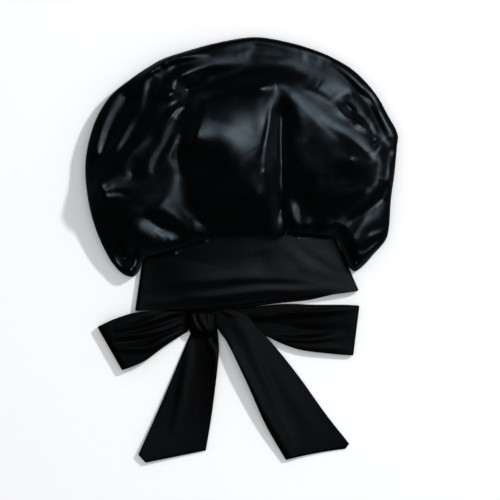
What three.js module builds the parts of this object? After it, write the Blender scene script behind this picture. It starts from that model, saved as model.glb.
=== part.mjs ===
// Satin bonnet lying on its back: hollow crown, stretch band, and a strap tied in a bow. Millimetres, Z up.
import * as THREE from "three";

const crownWidth = 335.4; // widest part of the crown, along X
const fullLength = 458; // top of the crown to the ends of the tails, along Y
const crownHeight = 76; // highest part of the crown over the floor
const bandRise = 30; // front of the band over the floor, at the crown's side
const hemRise = 15; // front of the band over the floor, at the hem
const satinWall = 1.2;
const bandWall = 2;
const strapWall = 2.2;
const gap = 0.5; // clearance between two pieces

const halfWidth = crownWidth / 2;
const halfLength = fullLength / 2;
const at = ([a, b]) => new THREE.Vector3(a * halfWidth, b * halfLength, 0);
const curve = (shares) =>
  new THREE.CatmullRomCurve3(shares.map(at), false, "centripetal");
const mix = THREE.MathUtils.lerp;
const ramp = (a, b, x) => THREE.MathUtils.smoothstep(x, a, b);
const round = (t) => Math.sqrt(Math.max(0, 1 - (1 - Math.min(1, Math.max(0, t))) ** 2));

// Plan tables: points as shares of half the width and half the length, left to right.
const rimShares = [
  [-0.661, -0.088], [-0.69, -0.124], [-0.71, -0.127], [-0.763, -0.113], [-0.826, -0.067],
  [-0.906, 0.04], [-0.971, 0.182], [-1.001, 0.327], [-1.001, 0.423], [-0.979, 0.517],
  [-0.924, 0.631], [-0.833, 0.732], [-0.704, 0.808], [-0.62, 0.85], [-0.512, 0.896],
  [-0.354, 0.935], [-0.139, 0.977], [0.088, 1.0], [0.287, 0.978], [0.459, 0.942],
  [0.585, 0.903], [0.721, 0.842], [0.857, 0.736], [0.935, 0.637], [1.001, 0.54],
  [0.996, 0.485], [0.98, 0.358], [0.957, 0.233], [0.945, 0.108], [0.927, 0.051],
  [0.844, -0.023], [0.77, -0.082], [0.722, -0.1], [0.703, -0.075],
];
const seamShares = [
  [-0.638, -0.041], [-0.513, -0.022], [-0.382, 0.001], [-0.167, 0.048], [0.036, 0.064],
  [0.239, 0.069], [0.429, 0.062], [0.606, 0.055],
];
const hemShares = [
  [-0.686, -0.282], [-0.525, -0.28], [-0.358, -0.277], [-0.06, -0.257], [0.262, -0.227],
  [0.584, -0.205], [0.674, -0.197], [0.751, -0.188],
];
const rim = curve(rimShares);
const seam = curve(seamShares);
const hem = curve(hemShares);

// Puffs of the crown's front: an outline, the height they add and the width of the rounded shoulder.
const puffs = [
  { rise: 0.52, shoulder: 0.3, edge: [
    [-0.229, 0.02], [-0.3, 0.13], [-0.352, 0.234], [-0.365, 0.375], [-0.33, 0.48], [-0.285, 0.56],
    [-0.281, 0.682], [-0.27, 0.734], [-0.178, 0.722], [-0.017, 0.753], [0.125, 0.781], [0.275, 0.77],
    [0.215, 0.62], [0.2, 0.375], [0.225, 0.2], [0.247, 0.012], [0.015, 0.0],
  ] },
  { rise: 0.44, shoulder: 0.24, edge: [
    [0.262, 0.762], [0.37, 0.715], [0.447, 0.668], [0.595, 0.602], [0.743, 0.55], [0.872, 0.46],
    [0.891, 0.375], [0.814, 0.272], [0.679, 0.177], [0.55, 0.04], [0.4, 0.03], [0.265, 0.03],
    [0.24, 0.234], [0.25, 0.47], [0.245, 0.658],
  ] },
  { rise: 0.24, shoulder: 0.13, edge: [
    [-0.526, 0.875], [-0.603, 0.776], [-0.648, 0.668], [-0.738, 0.573], [-0.809, 0.479],
    [-0.931, 0.366], [-0.899, 0.281], [-0.777, 0.201], [-0.596, 0.201], [-0.468, 0.243],
    [-0.4, 0.338], [-0.38, 0.446], [-0.34, 0.555], [-0.32, 0.696], [-0.377, 0.781], [-0.455, 0.847],
  ] },
  { rise: 0.22, shoulder: 0.14, edge: [
    [-0.931, 0.347], [-0.899, 0.253], [-0.757, 0.092], [-0.596, 0.003], [-0.403, -0.02],
    [-0.28, 0.0], [-0.32, 0.15], [-0.43, 0.25], [-0.65, 0.25], [-0.841, 0.33],
  ] },
];
// Folds: a path, the height at its crest (below zero for a valley) and the half width on each side of it.
const folds = [
  { rise: 0.1, left: 0.05, right: 0.07, path: [[-0.886, 0.47], [-0.815, 0.668], [-0.712, 0.753], [-0.435, 0.885], [-0.197, 0.9], [0.048, 0.908], [0.37, 0.9], [0.563, 0.85], [0.705, 0.77], [0.833, 0.65], [0.924, 0.517]] },
  { rise: 0.13, left: 0.06, right: 0.05, path: [[-0.352, 0.696], [-0.442, 0.621], [-0.493, 0.526], [-0.577, 0.432], [-0.59, 0.366]] },
  { rise: 0.12, left: 0.07, right: 0.07, path: [[-0.577, 0.522], [-0.661, 0.479], [-0.725, 0.399], [-0.725, 0.3]] },
  { rise: 0.14, left: 0.05, right: 0.06, path: [[-0.384, 0.611], [-0.429, 0.503], [-0.448, 0.446], [-0.416, 0.352], [-0.422, 0.27], [-0.36, 0.12]] },
  { rise: 0.1, left: 0.06, right: 0.05, path: [[0.215, 0.72], [0.15, 0.58], [0.14, 0.375], [0.165, 0.22], [0.225, 0.05]] },
  { rise: -0.12, left: 0.05, right: 0.05, path: [[0.262, 0.72], [0.235, 0.5], [0.235, 0.3], [0.27, 0.14]] },
  { rise: -0.1, left: 0.08, right: 0.08, path: [[0.32, 0.36], [0.5, 0.4], [0.7, 0.4]] },
  { rise: -0.12, left: 0.07, right: 0.07, path: [[0.62, 0.715], [0.705, 0.69], [0.795, 0.62]] },
  { rise: 0.09, left: 0.05, right: 0.05, path: [[0.94, 0.46], [0.91, 0.3], [0.83, 0.22], [0.72, 0.1]] },
  { rise: 0.08, left: 0.05, right: 0.05, path: [[0.305, 0.27], [0.33, 0.2], [0.335, 0.08]] },
  { rise: 0.08, left: 0.05, right: 0.05, path: [[0.46, 0.26], [0.42, 0.17], [0.38, 0.08]] },
  { rise: 0.09, left: 0.05, right: 0.05, path: [[-0.34, 0.17], [-0.26, 0.1], [-0.225, 0.04]] },
];

// The pieces of a broken line as arrays, and the nearest place on it: distance, side and share of its length.
function samples(shares, count) {
  return curve(shares).getPoints(count);
}
function nearest(line, x, y) {
  let best = { d: Infinity, side: 1, share: 0 };
  for (let i = 0; i < line.length - 1; i++) {
    const ax = line[i].x, ay = line[i].y;
    const dx = line[i + 1].x - ax, dy = line[i + 1].y - ay;
    const t = THREE.MathUtils.clamp(((x - ax) * dx + (y - ay) * dy) / (dx * dx + dy * dy), 0, 1);
    const d = Math.hypot(x - ax - t * dx, y - ay - t * dy);
    if (d < best.d)
      best = { d, side: dx * (y - ay) - dy * (x - ax) > 0 ? 1 : -1, share: (i + t) / (line.length - 1) };
  }
  return best;
}
function inside(line, x, y) {
  let odd = false;
  for (let i = 0, j = line.length - 1; i < line.length; j = i++)
    if (line[i].y > y !== line[j].y > y && x < ((line[j].x - line[i].x) * (y - line[i].y)) / (line[j].y - line[i].y) + line[i].x)
      odd = !odd;
  return odd;
}
const puffLines = puffs.map((p) => samples([...p.edge, p.edge[0]], 60));
const foldLines = folds.map((f) => samples(f.path, 24));

// Height of the crown's upper sheet over the floor, away from its rim.
function crownField(x, y) {
  let z = crownHeight * 0.44;
  const soft = 0.07 * halfWidth;
  puffs.forEach((p, i) => {
    const d = nearest(puffLines[i], x, y).d * (inside(puffLines[i], x, y) ? 1 : -1);
    const t = THREE.MathUtils.clamp((d + soft) / (p.shoulder * halfWidth + soft), 0, 1);
    z += p.rise * crownHeight * Math.sin((Math.PI / 2) * t) ** 1.2;
  });
  folds.forEach((f, i) => {
    const n = nearest(foldLines[i], x, y);
    const w = (n.side > 0 ? f.left : f.right) * halfWidth;
    z += f.rise * crownHeight * Math.exp(-((n.d / w) ** 2)) * Math.sin(Math.PI * mix(0.06, 0.94, n.share));
  });
  return z;
}

// A point of the flattened tube of the band, inset from its outer face; turn goes left, over the front, right, and back under.
const sideHeight = 4.6; // height of the folded sides' middle
const backHem = 0.018 * halfLength; // how far the back hem shows below the front one
function tube(turn, along, inset) {
  const u = (1 - Math.cos(turn)) / 2;
  const low = hem.getPointAt(u), high = seam.getPointAt(u);
  const a = hem.getPoint(0).lerp(seam.getPoint(0), along), b = hem.getPoint(1).lerp(seam.getPoint(1), along);
  const p = low.lerp(high, along);
  const width = a.distanceTo(b);
  const share = (width - 2 * inset) / width;
  const middle = (a.x + b.x) / 2;
  p.x = middle + (p.x - middle) * share;
  if (turn > Math.PI) p.y -= backHem * Math.max(0, 1 - along) * ramp(0.35, 0.5, u) * ramp(0.08, 0.25, 1 - u);
  const r = sideHeight - inset;
  const edge = Math.min(u, 1 - u) * width * share;
  const rounded = r * round(edge / r);
  if (turn > Math.PI) p.z = sideHeight - rounded;
  else {
    const crease = 0.06 * bandRise * Math.exp(-(((along - 0.42) / 0.16) ** 2));
    p.z = sideHeight + rounded + (mix(hemRise, bandRise, along) + crease - 2 * sideHeight) * Math.sin(Math.PI * u) ** 1.3;
  }
  return p;
}

// A named mesh from shared points and quads that run counterclockwise seen from outside.
const group = new THREE.Group();
function solid(name, points, quads, colour) {
  const geometry = new THREE.BufferGeometry();
  geometry.setAttribute("position", new THREE.Float32BufferAttribute(points.flatMap((p) => [p.x, p.y, p.z]), 3));
  geometry.setIndex(quads.flatMap(([a, b, c, d]) => (a === d || c === d ? [a, b, c] : a === b ? [b, c, d] : [a, b, c, a, c, d])));
  geometry.computeVertexNormals();
  const mesh = new THREE.Mesh(geometry, new THREE.MeshStandardMaterial({ color: colour, roughness: 0.6 }));
  mesh.name = name;
  group.add(mesh);
  return mesh;
}
// Normals at the points of an open sheet of quads.
function normalsOf(points, quads) {
  const normals = points.map(() => new THREE.Vector3());
  for (const [a, b, c, d] of quads) {
    const n = new THREE.Vector3().subVectors(points[c], points[a]).cross(new THREE.Vector3().subVectors(points[d], points[b]));
    for (const k of new Set([a, b, c, d])) normals[k].add(n);
  }
  return normals.map((n) => n.normalize());
}
// A wall: the outer sheet, the same sheet moved in along its normals, and the strips that close its free edges.
function wall(name, points, quads, borders, thickness, colour) {
  const normals = normalsOf(points, quads);
  const inner = points.map((p, i) => p.clone().addScaledVector(normals[i], -thickness));
  const n = points.length;
  const back = quads.map(([a, b, c, d]) => [n + d, n + c, n + b, n + a]);
  const strips = borders.flatMap((loop) => loop.map((a, i) => {
    const b = loop[(i + 1) % loop.length];
    return [b, a, n + a, n + b];
  }));
  return solid(name, [...points, ...inner], [...quads, ...back, ...strips], colour);
}

// Band: the flattened tube, hem to seam.
{
  const around = 72, rows = 6;
  const points = [], quads = [];
  for (let j = 0; j <= rows; j++)
    for (let i = 0; i < around; i++) points.push(tube((i / around) * 2 * Math.PI, j / rows, 0));
  const inner = [];
  for (let j = 0; j <= rows; j++)
    for (let i = 0; i < around; i++) inner.push(tube((i / around) * 2 * Math.PI, j / rows, bandWall));
  const n = points.length;
  for (let j = 0; j < rows; j++)
    for (let i = 0; i < around; i++) {
      const k = (i + 1) % around;
      const q = [j * around + i, j * around + k, (j + 1) * around + k, (j + 1) * around + i];
      quads.push(q, q.map((v) => n + v).reverse());
    }
  for (let i = 0; i < around; i++) {
    const k = (i + 1) % around, top = rows * around;
    quads.push([k, i, n + i, n + k], [top + i, top + k, n + top + k, n + top + i]);
  }
  solid("band", [...points, ...inner], quads, 0x15161a);
}

// Crown: columns fan out from the mouth, inside the band, to the rim, on the upper and the lower sheet.
{
  const half = 42;
  const steps = [0.035, 0.08, 0.13, 0.19, 0.26, 0.33, 0.4, 0.47, 0.54, 0.61, 0.68, 0.75, 0.82, 0.88, 0.935, 0.975, 1];
  const tuck = 0.1, neckInset = bandWall + gap, clear = 0.025;
  const rimHeight = (a) => mix(sideHeight, crownHeight * 0.2, ramp(0, 0.12, a) * ramp(0, 0.12, 1 - a));
  const rimRound = 0.1 * halfWidth;
  const mouth = (turn) => tube(turn, 1 + clear, neckInset);
  const spread = (turn, w) => {
    const t = Math.min(turn, 2 * Math.PI - turn) / Math.PI;
    const a = t - 0.045 * Math.sin(2 * Math.PI * t);
    const from = mouth(turn), to = rim.getPointAt(a);
    const out = ramp(0, 0.12, Math.min(t, 1 - t)), across = Math.abs(to.x - from.x);
    const over = new THREE.Vector3(
      mix(from.x, to.x, mix(0.35, 0.55, out)) + Math.sign(to.x - from.x) * 0.012 * halfWidth * (1 - out),
      from.y + 0.3 * Math.max(0, to.y - from.y) + mix(0.022 * halfLength, 0.035 * halfLength + 0.75 * across, out), 0);
    const p = from.clone().multiplyScalar((1 - w) ** 2).addScaledVector(over, 2 * w * (1 - w)).addScaledVector(to, w * w);
    return { p, a };
  };
  const outline = [];
  for (let j = 0; j <= 10; j++) outline.push(spread(0, j / 10).p);
  outline.push(...rim.getSpacedPoints(150));
  for (let j = 10; j >= 0; j--) outline.push(spread(Math.PI, j / 10).p);
  const point = (i, j) => {
    const turn = (i / half) * Math.PI;
    if (j === 0) return tube(turn, 1 - tuck, neckInset);
    if (j === 1) return mouth(turn);
    const w = steps[j - 2];
    const { p, a } = spread(turn, w);
    const edge = rimHeight(a) * w + sideHeight * (1 - w);
    const d = i % half === 0 ? 0 : w === 1 ? 0 : nearest(outline, p.x, p.y).d;
    const g = round(d / rimRound);
    const start = mouth(turn).z;
    if (i > half) p.z = mix(start, edge * (1 - g), ramp(0, 0.08, w));
    else {
      const gather = 0.03 * crownHeight * (i % 2 ? 1 : -1) * (1 - ramp(0.1, 0.5, w)) * ramp(0.3, 0.8, Math.sin(turn));
      p.z = mix(start, edge + (crownField(p.x, p.y) + gather - edge) * g, ramp(0, 0.2, w));
    }
    return p;
  };
  const points = [], quads = [];
  const last = steps.length + 1;
  for (let j = 0; j < last; j++) for (let i = 0; i < 2 * half; i++) points.push(point(i, j));
  for (let i = 0; i <= half; i++) points.push(point(i, last));
  const index = (i, j) => {
    const k = i % (2 * half);
    return j < last ? j * 2 * half + k : last * 2 * half + (k > half ? 2 * half - k : k);
  };
  for (let j = 0; j < last; j++)
    for (let i = 0; i < 2 * half; i++) quads.push([index(i, j), index(i + 1, j), index(i + 1, j + 1), index(i, j + 1)]);
  const opening = Array.from({ length: 2 * half }, (_, i) => index(i, 0));
  wall("crown", points, quads, [opening], satinWall, 0x0a0e12);
}

// A strip of strap over a grid of across by along steps; surface(u, v) gives its upper face.
function strip(name, surface, across, along) {
  const points = [], quads = [];
  for (let j = 0; j <= along; j++) for (let i = 0; i <= across; i++) points.push(surface(i / across, j / along));
  const row = across + 1;
  for (let j = 0; j < along; j++)
    for (let i = 0; i < across; i++) quads.push([j * row + i, j * row + i + 1, (j + 1) * row + i + 1, (j + 1) * row + i]);
  const border = [];
  for (let i = 0; i < across; i++) border.push(i);
  for (let j = 0; j < along; j++) border.push(j * row + across);
  for (let i = across; i > 0; i--) border.push(along * row + i);
  for (let j = along; j > 0; j--) border.push(j * row);
  return wall(name, points, quads, [border], strapWall, 0x17181b);
}

// Loops of the bow: out along the floor, round the end, and back over; edges as shares, from the knot to the end.
const loops = [
  { name: "bow_loop_left", hand: -1, lift: 9.5, opens: 0.05,
    top: [[-0.3485, -0.283], [-0.5, -0.288], [-0.682, -0.296], [-0.82, -0.325], [-0.923, -0.36]],
    low: [[-0.3485, -0.382], [-0.489, -0.45], [-0.618, -0.52], [-0.69, -0.545], [-0.763, -0.565]] },
  { name: "bow_loop_right", hand: 1, lift: 8, opens: 0.38,
    top: [[-0.167, -0.292], [0.05, -0.28], [0.25, -0.264], [0.45, -0.257], [0.67, -0.258], [0.751, -0.261]],
    low: [[-0.167, -0.37], [0.0, -0.39], [0.144, -0.403], [0.241, -0.436], [0.37, -0.469], [0.563, -0.488], [0.711, -0.497]] },
];
for (const l of loops) {
  const top = curve(l.top), low = curve(l.low);
  const straight = 0.4, radius = l.lift / 2 / top.getLength();
  strip(l.name, (u, v) => {
    const q = l.hand > 0 ? 1 - u : u;
    const angle = THREE.MathUtils.clamp((v - straight) / (1 - 2 * straight), 0, 1) * Math.PI;
    const s = Math.min(1, Math.min(v, 1 - v) / straight) * (1 - radius) + radius * Math.sin(angle);
    const p = top.getPointAt(s).lerp(low.getPointAt(s), q);
    const apart = mix(2 * strapWall + 2 * gap, l.lift, ramp(l.opens, l.opens + 0.4, s));
    const pleat = 0.35 * strapWall * (1 - s) * (1 - Math.cos(5 * Math.PI * q)) * ramp(0.6, 0.7, v);
    p.z = (apart * (1 - Math.cos(angle))) / 2 + pleat;
    return p;
  }, 7, 24);
}

// Tails: flat on the floor, over the right loop's root where the strap crosses it; the cut corner hangs lower than the straight end.
const overLoop = 2 * strapWall + 2 * gap + 0.7 * strapWall + gap;
const tails = [
  { name: "tail_left", over: 0, fold: [0.32, 0.72], corner: 0.11, drop: 0.046,
    left: [[-0.339, -0.415], [-0.403, -0.52], [-0.531, -0.742], [-0.665, -0.963]],
    right: [[-0.166, -0.415], [-0.154, -0.48], [-0.167, -0.598], [-0.197, -0.786], [-0.231, -0.945]] },
  { name: "tail_right", over: overLoop, fold: [0.3, 0.64], corner: 0.94, drop: 0.022,
    left: [[-0.166, -0.332], [-0.143, -0.384], [-0.101, -0.426], [0.026, -0.615], [0.155, -0.825], [0.284, -0.989]],
    right: [[-0.166, -0.281], [-0.072, -0.281], [0.026, -0.304], [0.083, -0.349], [0.219, -0.459], [0.37, -0.598], [0.541, -0.773], [0.692, -0.913]] },
];
for (const t of tails) {
  const left = curve(t.left), right = curve(t.right);
  strip(t.name, (u, v) => {
    const q = 1 - u;
    const p = left.getPointAt(v).lerp(right.getPointAt(v), q);
    const near = t.corner < 0.5 ? Math.min(1, q / t.corner) * (1 - q) : Math.min(1, (1 - q) / (1 - t.corner)) * q * q;
    p.y -= t.drop * halfLength * near * v ** 6;
    const crease = t.fold.reduce((z, c) => z + Math.exp(-(((q - c) / 0.14) ** 2)), 0);
    p.z = strapWall * (1 + 0.9 * crease * Math.sin(Math.PI * Math.min(1, v * 1.15))) + t.over * (1 - ramp(0.3, 0.55, v));
    return p;
  }, 8, 18);
}

// Knot: sections from its top, tucked under the front hem, to its foot: y, middle and half width as shares, foot and top in millimetres.
{
  const under = bandWall + gap, top = hemRise - bandWall - gap;
  const sections = [
    [-0.249, -0.265, 0.04, under, top * 0.62], [-0.262, -0.265, 0.062, under, top * 0.74], [-0.282, -0.264, 0.077, under, top * 0.8],
    [-0.298, -0.262, 0.083, 0.03 * top, top * 1.16], [-0.325, -0.26, 0.087, 0, top * 1.3], [-0.36, -0.257, 0.088, 0, top * 1.32],
    [-0.385, -0.252, 0.082, 0, top * 1.18], [-0.402, -0.246, 0.07, 0, top * 0.9], [-0.41, -0.242, 0.05, 0.08 * top, top * 0.6],
  ];
  const around = 28, points = [], quads = [];
  sections.forEach(([y, x, w, foot, head]) => {
    for (let i = 0; i < around; i++) {
      const angle = (i / around) * 2 * Math.PI;
      const c = Math.cos(angle), s = Math.sin(angle);
      const pleat = s > 0 ? 1 - 0.05 * (1 - Math.cos(7 * angle)) * s : 1;
      const high = (head - foot) / 2;
      points.push(new THREE.Vector3((x + w * Math.sign(c) * Math.abs(c) ** 0.8) * halfWidth, y * halfLength, foot + high * (1 + Math.sign(s) * Math.abs(s) ** 0.7 * pleat)));
    }
  });
  const rows = sections.length - 1;
  for (let j = 0; j < rows; j++)
    for (let i = 0; i < around; i++) {
      const k = (i + 1) % around;
      quads.push([j * around + i, j * around + k, (j + 1) * around + k, (j + 1) * around + i]);
    }
  [0, rows].forEach((j) => {
    const [y, x, , foot, head] = sections[j];
    points.push(new THREE.Vector3(x * halfWidth, (y + (j ? -0.004 : 0.004)) * halfLength, (foot + head) / 2));
    for (let i = 0; i < around; i++) {
      const a = j * around + i, b = j * around + ((i + 1) % around), c = points.length - 1;
      quads.push(j ? [a, b, c, c] : [b, a, c, c]);
    }
  });
  solid("knot", points, quads, 0x17181b);
}

// The shared frame: the middle of the plan at the origin, the floor at zero.
group.updateMatrixWorld(true);
const box = new THREE.Box3().setFromObject(group);
group.position.set(-(box.min.x + box.max.x) / 2, -(box.min.y + box.max.y) / 2, -box.min.z);
group.updateMatrixWorld(true);
export default group;
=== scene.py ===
# Satin bonnet lying on its back: hollow satin crown, jersey band, strap tied in a bow. In millimetres.
import bpy
import numpy as np
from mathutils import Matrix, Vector


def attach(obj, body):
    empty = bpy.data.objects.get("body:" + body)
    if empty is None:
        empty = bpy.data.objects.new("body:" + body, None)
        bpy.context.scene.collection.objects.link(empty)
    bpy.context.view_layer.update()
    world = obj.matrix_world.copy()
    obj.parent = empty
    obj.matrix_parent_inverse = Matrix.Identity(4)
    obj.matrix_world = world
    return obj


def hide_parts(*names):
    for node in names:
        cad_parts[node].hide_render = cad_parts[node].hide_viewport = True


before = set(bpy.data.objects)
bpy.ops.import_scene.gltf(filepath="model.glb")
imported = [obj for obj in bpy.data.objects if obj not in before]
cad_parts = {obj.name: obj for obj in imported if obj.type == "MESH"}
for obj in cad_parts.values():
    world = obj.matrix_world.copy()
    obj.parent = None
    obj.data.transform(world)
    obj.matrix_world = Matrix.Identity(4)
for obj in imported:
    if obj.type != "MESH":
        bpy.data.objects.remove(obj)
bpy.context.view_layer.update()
scene = bpy.context.scene
metre = 0.001  # one millimetre
gap = 0.5  # clearance between two pieces


# Curves and distances

def smooth(a, b, x):
    t = np.clip((x - a) / (b - a), 0, 1)
    return t * t * (3 - 2 * t)


def rounded(t):  # quarter circle: upright at t = 0, level from t = 1
    return np.sqrt(np.maximum(0, 1 - (1 - np.clip(t, 0, 1)) ** 2))


def bell(x):
    return np.exp(-x * x)


def ease(count, dense):  # 0 to 1, closer together at both ends
    t = np.linspace(-1, 1, count)
    return 0.5 + 0.5 * np.tanh(dense * t) / np.tanh(dense)


def curve(points, count):  # evenly spaced points of the centripetal Catmull-Rom curve through the given ones
    p = np.asarray(points, float)
    q = np.vstack([2 * p[0] - p[1], p, 2 * p[-1] - p[-2]])
    knots = np.concatenate([[0], np.cumsum(np.sqrt(np.linalg.norm(np.diff(q[:, :2], axis=0), axis=1)))])
    k = np.linspace(knots[1], knots[-2], 8 * count)
    i = np.clip(np.searchsorted(knots[1:-1], k, side="right") - 1, 0, len(p) - 2)
    t = [knots[i + j][:, None] for j in range(4)]
    c = [q[i + j] for j in range(4)]
    k = k[:, None]
    a = [((t[j + 1] - k) * c[j] + (k - t[j]) * c[j + 1]) / (t[j + 1] - t[j]) for j in range(3)]
    b = [((t[j + 2] - k) * a[j] + (k - t[j]) * a[j + 1]) / (t[j + 2] - t[j]) for j in range(2)]
    fine = ((t[2] - k) * b[0] + (k - t[1]) * b[1]) / (t[2] - t[1])
    arc = runOf(fine[:, :2])
    even = np.linspace(0, arc[-1], count)
    return np.stack([np.interp(even, arc, fine[:, j]) for j in range(p.shape[1])], 1)


def runOf(line):  # length from the start of a line to each of its points
    return np.concatenate([[0], np.cumsum(np.linalg.norm(np.diff(line, axis=0), axis=1))])


def along(line, share):  # points at shares of an evenly spaced curve
    at = np.linspace(0, 1, len(line))
    return np.stack([np.interp(share, at, line[:, j]) for j in range(line.shape[1])], -1)


def nearest(xy, line):  # distance to a line, side (1 on its left) and share of its length
    best = np.full(len(xy), np.inf)
    side, share = np.ones(len(xy)), np.zeros(len(xy))
    for i in range(len(line) - 1):
        d = line[i + 1] - line[i]
        r = xy - line[i]
        t = np.clip(r @ d / max(d @ d, 1e-9), 0, 1)
        e = r - t[:, None] * d
        q = (e * e).sum(1)
        m = q < best
        best[m] = q[m]
        side[m] = np.where(d[0] * r[m, 1] > d[1] * r[m, 0], 1, -1)
        share[m] = (i + t[m]) / (len(line) - 1)
    return np.sqrt(best), side, share


def swing(a, b, c, t):  # the quadratic that has the value a at the start, b in the middle and c at the end
    return a * (1 - t) * (1 - 2 * t) + b * 4 * t * (1 - t) + c * t * (2 * t - 1)


pathPoints = 41  # points along the path of a fold or a cliff


def foldSum(xy, folds):  # a bell across each path, with its own width on each side, fading at both ends
    z = np.zeros(len(xy))
    for rise, left, right, path in folds.values():
        d, side, share = nearest(xy, curve(path, pathPoints))
        fade = np.sin(np.pi * np.clip(share, 0.03, 0.97)) ** 0.6
        width = (left + right) / 2 + side * (left - right) / 2 * np.sqrt(np.sin(np.pi * share))
        z += swing(*np.broadcast_to(rise, 3), share) * bell(d / width) * fade
    return z


def cliffSum(xy, cliffs):  # steps up on the left of each path that die away on both sides and at both ends
    z = np.zeros(len(xy))
    for rise, width, reach, path in cliffs.values():
        d, side, share = nearest(xy, curve(path, pathPoints))
        fade = np.sqrt(np.sin(np.pi * share)) * smooth(0, 0.1, share) * smooth(0, 0.1, 1 - share)
        z += 0.5 * swing(*rise, share) * np.tanh(d * side / width) * bell(d / reach) * fade
    return z


# Meshes

def grid(index, flip=False):  # quads of a grid of vertex numbers
    a, b, c, d = index[:-1, :-1], index[:-1, 1:], index[1:, 1:], index[1:, :-1]
    quads = np.stack([a, b, c, d], -1).reshape(-1, 4)
    return quads[:, ::-1] if flip else quads


def numbered(points, first=0):  # vertex numbers of a grid of points
    return first + np.arange(points[..., 0].size).reshape(points.shape[:2])


def piece(name, points, faces, node, material, uv=None):  # a repeated last corner marks a triangle
    points, faces = np.asarray(points, float), np.asarray(faces)
    used = np.unique(faces)
    renumber = np.zeros(len(points), int)
    renumber[used] = np.arange(len(used))
    uv = (points[:, :2] if uv is None else uv)[used]
    points, faces = points[used], renumber[faces]
    counts = np.where(faces[:, 2] == faces[:, 3], 3, 4)
    corners = faces[np.arange(4)[None] < counts[:, None]]
    mesh = bpy.data.meshes.new(name)
    mesh.vertices.add(len(points))
    mesh.vertices.foreach_set("co", (points * metre).ravel())
    mesh.loops.add(len(corners))
    mesh.loops.foreach_set("vertex_index", corners.astype(np.int32))
    mesh.polygons.add(len(faces))
    mesh.polygons.foreach_set("loop_start", np.concatenate([[0], np.cumsum(counts)[:-1]]).astype(np.int32))
    mesh.polygons.foreach_set("use_smooth", np.ones(len(faces), bool))
    layer = mesh.uv_layers.new(name="cloth")
    layer.data.foreach_set("uv", (uv[corners] * metre).ravel())
    mesh.update()
    mesh.validate()
    obj = bpy.data.objects.new(name, mesh)
    scene.collection.objects.link(obj)
    obj.data.materials.append(material)
    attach(obj, "root")
    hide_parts(node)
    return obj


def pillow(name, middle, thickness, node, material, uv):
    # a strap around its middle surface: upper and lower faces share the border, so all its edges are round
    across = np.stack([runOf(row) for row in middle])
    down = np.stack([runOf(column) for column in middle.swapaxes(0, 1)], 1)
    edge = np.minimum(np.minimum(across, across[:, -1:] - across), np.minimum(down, down[-1:] - down))
    edgeWidth = 0.75 * thickness  # how far in from its edge the strap is at full thickness
    normal = np.cross(np.gradient(middle, axis=1), np.gradient(middle, axis=0))
    normal /= np.maximum(1e-9, np.linalg.norm(normal, axis=-1, keepdims=True))
    half = thickness / 2 * rounded(edge / edgeWidth)[..., None] * normal
    up = numbered(middle)
    low = numbered(middle, up.size)
    low[0], low[-1], low[:, 0], low[:, -1] = up[0], up[-1], up[:, 0], up[:, -1]
    points = np.vstack([(middle + half).reshape(-1, 3), (middle - half).reshape(-1, 3)])
    flat = np.tile(uv.reshape(-1, 2), (2, 1))
    return piece(name, points, np.vstack([grid(up), grid(low, flip=True)]), node, material, flat)


# Materials: shared effects are node groups, built once

def group(name, inputs, outputs):
    g = bpy.data.node_groups.new(name, "ShaderNodeTree")
    for label, kind, value in inputs:
        s = g.interface.new_socket(label, in_out="INPUT", socket_type=kind)
        if value is not None:
            s.default_value = value
    for label, kind in outputs:
        g.interface.new_socket(label, in_out="OUTPUT", socket_type=kind)
    return g, g.nodes.new("NodeGroupInput"), g.nodes.new("NodeGroupOutput")


def node(tree, kind, settings=None, **values):  # values for the sockets of these names; i0, i1: the first two
    n = tree.nodes.new(kind)
    for key, value in (settings or {}).items():
        setattr(n, key, value)
    for key, value in values.items():
        socket = n.inputs[{"i0": 0, "i1": 1}.get(key, key.replace("_", " "))]
        if isinstance(value, bpy.types.NodeSocket):
            tree.links.new(value, socket)
        else:
            socket.default_value = value
    return n


def maths(tree, operation, a, b):
    return node(tree, "ShaderNodeMath", {"operation": operation}, i0=a, i1=b).outputs[0]


def weaveGroup():  # threads along and across, and a slow noise that makes them uneven
    g, into, out = group("weave", [
        ("Vector", "NodeSocketVector", None), ("Threads", "NodeSocketFloat", 2500.0),
        ("Across", "NodeSocketFloat", 0.5), ("Slub", "NodeSocketFloat", 0.3),
    ], [("Height", "NodeSocketFloat"), ("Tone", "NodeSocketFloat")])
    scaled = node(g, "ShaderNodeVectorMath", {"operation": "SCALE"}, i0=into.outputs["Vector"],
                  Scale=into.outputs["Threads"]).outputs[0]
    warp, weft = (node(g, "ShaderNodeTexWave", {"wave_type": "BANDS", "bands_direction": way}, Vector=scaled,
                       Scale=0.3, Distortion=1.5, Detail=2.0, Detail_Scale=1.2).outputs["Fac"]
                  for way in "XY")
    slub = node(g, "ShaderNodeTexNoise", Vector=scaled, Scale=0.12, Detail=3.0, Roughness=0.6).outputs["Fac"]
    threads = maths(g, "ADD", warp, maths(g, "MULTIPLY", weft, into.outputs["Across"]))
    uneven = maths(g, "MULTIPLY", slub, into.outputs["Slub"])
    g.links.new(maths(g, "ADD", threads, uneven), out.inputs["Height"])
    g.links.new(slub, out.inputs["Tone"])
    return g


def crinkleGroup():  # soft shallow waves that cloth keeps from handling
    g, into, out = group("crinkle", [
        ("Vector", "NodeSocketVector", None), ("Scale", "NodeSocketFloat", 20.0),
        ("Stretch", "NodeSocketVector", (1, 1, 1)),
    ], [("Height", "NodeSocketFloat")])
    turned = node(g, "ShaderNodeVectorMath", {"operation": "MULTIPLY"}, i0=into.outputs["Vector"],
                  i1=into.outputs["Stretch"])
    fine = node(g, "ShaderNodeTexNoise", {"noise_type": "FBM"}, Vector=turned.outputs[0],
                Scale=into.outputs["Scale"], Detail=2.0, Roughness=0.45, Distortion=0.6)
    g.links.new(fine.outputs["Fac"], out.inputs["Height"])
    return g


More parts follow.
